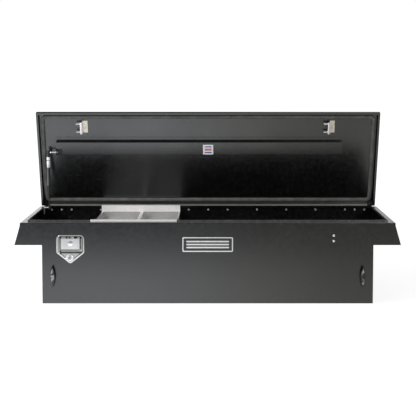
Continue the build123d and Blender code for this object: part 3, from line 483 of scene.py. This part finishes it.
def strut_frame():
    """The middles of the strut's lower and upper end sockets."""
    low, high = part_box("strut_rod_end")
    bottom = (low + high) / 2
    low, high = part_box("strut_cylinder_end")
    top = (low + high) / 2
    return bottom, top


WRAP_RADIUS = 0.0081
WRAP_THICKNESS = 0.0001
WRAP_START = 0.078
WRAP_LENGTH = 0.054


def strut_label(shape):
    """A paper label that wraps the front of the strut's tube."""
    bottom, top = strut_frame()
    axis = (top - bottom).normalized()
    side = Vector((1.0, 0.0, 0.0))
    front = side.cross(axis).normalized()
    if front.y > 0:
        front = -front
    rings = []
    for share in (0.0, 1.0):
        centre = top - axis * (WRAP_START - WRAP_LENGTH * share)
        for radius in (WRAP_RADIUS, WRAP_RADIUS + WRAP_THICKNESS):
            rings.append([shape.verts.new(centre + radius * (side * math.sin(t) + front * math.cos(t)))
                          for t in [math.radians(a) for a in range(-150, 151, 10)]])
    inner0, outer0, inner1, outer1 = rings
    for k in range(len(outer0) - 1):
        shape.faces.new((outer0[k], outer0[k + 1], outer1[k + 1], outer1[k])).smooth = True
        shape.faces.new((inner0[k], inner1[k], inner1[k + 1], inner0[k + 1])).smooth = True
        shape.faces.new((inner0[k], inner0[k + 1], outer0[k + 1], outer0[k]))
        shape.faces.new((inner1[k], outer1[k], outer1[k + 1], inner1[k + 1]))
    shape.faces.new((inner0[0], outer0[0], outer1[0], inner1[0]))
    shape.faces.new((inner0[-1], inner1[-1], outer1[-1], outer0[-1]))


def paper_material():
    """White paper with one grey stripe."""
    material, tree, shader = new_material("strut_label")
    grain = noise(tree, coords(tree), 600.0, 3.0)
    stripe = band(tree, axes(tree, space(tree, "Generated"))[2], 0.60, 0.73, 0.03)
    white = blend_colour(tree, grain, (0.80, 0.80, 0.79), (0.88, 0.88, 0.87))
    tree.links.new(blend_colour(tree, stripe, white, (0.35, 0.35, 0.36)), shader.inputs["Base Color"])
    shader.inputs["Roughness"].default_value = 0.45
    bump(tree, shader, grain, 0.00003, 0.3)
    return material


mesh_piece("strut_label", strut_label, paper_material(), "strut_tube_body")


BAR_HEIGHT = 0.007
BAR_PITCH = 0.014
BAR_MARGIN = 0.018
BAR_THICKNESS = 0.0007
BAR_END_STEPS = 8


def badge_shapes(shape):
    """Three equal plain bars with round ends, across the whole plate."""
    normal = Vector((0.0, -1.0, 0.0))
    low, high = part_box("badge_plate")
    middle = (low.z + high.z) / 2
    radius = BAR_HEIGHT / 2
    for row in (-1, 0, 1):
        outline = []
        for centre, start in ((high.x - BAR_MARGIN - radius, -90), (low.x + BAR_MARGIN + radius, 90)):
            for step in range(BAR_END_STEPS + 1):
                turn = math.radians(start + 180 / BAR_END_STEPS * step)
                outline.append(Vector((centre + radius * math.cos(turn), BADGE_FIELD,
                                       middle + row * BAR_PITCH + radius * math.sin(turn))))
        slab(shape, outline, normal, BAR_THICKNESS)


badge_silver = brushed("badge_silver", (0.82, 0.82, 0.82), (0.74, 0.74, 0.75), (0.30, 0.40),
                       ALONG_X, 0.00003)
mesh_piece("badge_shapes", badge_shapes, badge_silver, "box")


# ---------------------------------------------------------------- stage

# The floor as the camera sees it near the object, rising to 1 far away
FLOOR_LIFT = 0.85
FLOOR_GREY = (0.30, 0.30, 0.30, 1.0)
# The floor's glow on the object: strength left, right and far away, and its tint left and right
FLOOR_LEFT = 1.78
FLOOR_RIGHT = 0.78
FLOOR_FAR = 0.30
FLOOR_COOL = (0.97, 1.0, 1.04)
FLOOR_WARM = (1.01, 1.0, 0.95)


def floor():
    """A floor that looks plain to the camera, and lights the object as an uneven pool of light."""
    bpy.ops.mesh.primitive_plane_add(size=60.0, location=(0.0, 0.0, -0.5 * MM))
    piece = bpy.context.object
    piece.name = "floor"
    material = bpy.data.materials.new("pale_floor")
    material.use_nodes = True
    tree = material.node_tree
    tree.nodes.clear()
    out = tree.nodes.new("ShaderNodeOutputMaterial")
    place = space(tree)
    x, y, _ = axes(tree, place)

    matt = tree.nodes.new("ShaderNodeBsdfDiffuse")
    matt.inputs["Color"].default_value = FLOOR_GREY
    lift = tree.nodes.new("ShaderNodeEmission")
    reach = tree.nodes.new("ShaderNodeVectorMath")
    reach.operation = "LENGTH"
    tree.links.new(place, reach.inputs[0])
    tree.links.new(ramp(tree, reach.outputs["Value"], FLOOR_LIFT, 1.0, 0.8, 4.5), lift.inputs["Strength"])
    seen = tree.nodes.new("ShaderNodeAddShader")
    tree.links.new(matt.outputs[0], seen.inputs[0])
    tree.links.new(lift.outputs[0], seen.inputs[1])

    glow = tree.nodes.new("ShaderNodeEmission")
    tint = blend_colour(tree, ramp(tree, x, 0.0, 1.0, -0.6, 0.7), FLOOR_COOL, FLOOR_WARM)
    tree.links.new(tint, glow.inputs["Color"])
    across = ramp(tree, x, FLOOR_LEFT - FLOOR_FAR, FLOOR_RIGHT - FLOOR_FAR, -0.5, 0.9)
    near = ramp(tree, y, 0.0, 1.0, -2.35, -0.75)
    pool = maths(tree, "MULTIPLY", across, near)
    tree.links.new(maths(tree, "ADD", pool, FLOOR_FAR), glow.inputs["Strength"])

    by_ray(tree, out, glow, seen)
    piece.data.materials.append(material)


WHITE = (1.0, 1.0, 1.0, 1.0)
SEEN_STRENGTH = 1.02


def studio():
    """A low backdrop behind the object, a dim upper half and light overhead; the camera sees white."""
    world = bpy.data.worlds.new("studio")
    bpy.context.scene.world = world
    world.use_nodes = True
    tree = world.node_tree
    tree.nodes.clear()
    out = tree.nodes.new("ShaderNodeOutputWorld")
    x, y, z = axes(tree, space(tree, "Generated"))
    side = ramp(tree, x, 1.5, 0.75, -0.3, 0.3)
    behind = ramp(tree, y, 0.10, 1.0, -0.35, 0.15)
    low = ramp(tree, z, 1.0, 0.0, 0.20, 0.50)
    backdrop = maths(tree, "MULTIPLY", maths(tree, "MULTIPLY", side, behind), low)
    high = maths(tree, "MULTIPLY", ramp(tree, z, 0.0, 1.0, 0.20, 0.50),
                 ramp(tree, x, 0.10, 0.45, -0.05, 0.18))
    above = ramp(tree, z, 0.0, 0.5, 0.75, 0.95)
    light = tree.nodes.new("ShaderNodeBackground")
    light.inputs["Color"].default_value = WHITE
    tree.links.new(maths(tree, "ADD", backdrop, maths(tree, "MAXIMUM", high, above)),
                   light.inputs["Strength"])
    seen = tree.nodes.new("ShaderNodeBackground")
    seen.inputs["Color"].default_value = WHITE
    seen.inputs["Strength"].default_value = SEEN_STRENGTH
    by_ray(tree, out, light, seen)


def softbox(name, location, target, size, power):
    data = bpy.data.lights.new(name, "AREA")
    data.shape = "RECTANGLE"
    data.size, data.size_y = size
    data.energy = power
    lamp = bpy.data.objects.new(name, data)
    lamp.location = location
    lamp.visible_camera = False
    aim = Vector(target) - Vector(location)
    lamp.rotation_euler = aim.to_track_quat("-Z", "Y").to_euler()
    bpy.context.scene.collection.objects.link(lamp)


CAMERA_PLACE = (0.023, -4.5267, 1.1138)
CAMERA_PITCH = 3.688
CAMERA_LENS = 80.085
CAMERA_SHIFT = (-0.01111, -0.20)


def camera():
    """In front of the box and looking down a little, with its frame shifted."""
    data = bpy.data.cameras.new("camera")
    data.sensor_width = 36.0
    data.lens = CAMERA_LENS
    data.shift_x, data.shift_y = CAMERA_SHIFT
    data.clip_end = 100.0
    piece = bpy.data.objects.new("camera", data)
    piece.location = CAMERA_PLACE
    piece.rotation_euler = (math.radians(90.0 - CAMERA_PITCH), 0.0, 0.0)
    bpy.context.scene.collection.objects.link(piece)
    bpy.context.scene.camera = piece


floor()
studio()
STRIP_SIZE = (1.2, 0.4)
BOX_MIDDLE = (-0.1, 0.0, 0.4)
softbox("key", (-3.2, -1.4, 3.0), (0.0, -0.2, 0.3), (2.2, 1.6), 110.0)
softbox("front_left", (-3.4, -4.6, 1.9), BOX_MIDDLE, STRIP_SIZE, 56.0)
softbox("front_right", (2.6, -4.9, 1.95), BOX_MIDDLE, STRIP_SIZE, 60.0)
camera()
bpy.context.scene.view_settings.view_transform = "Standard"
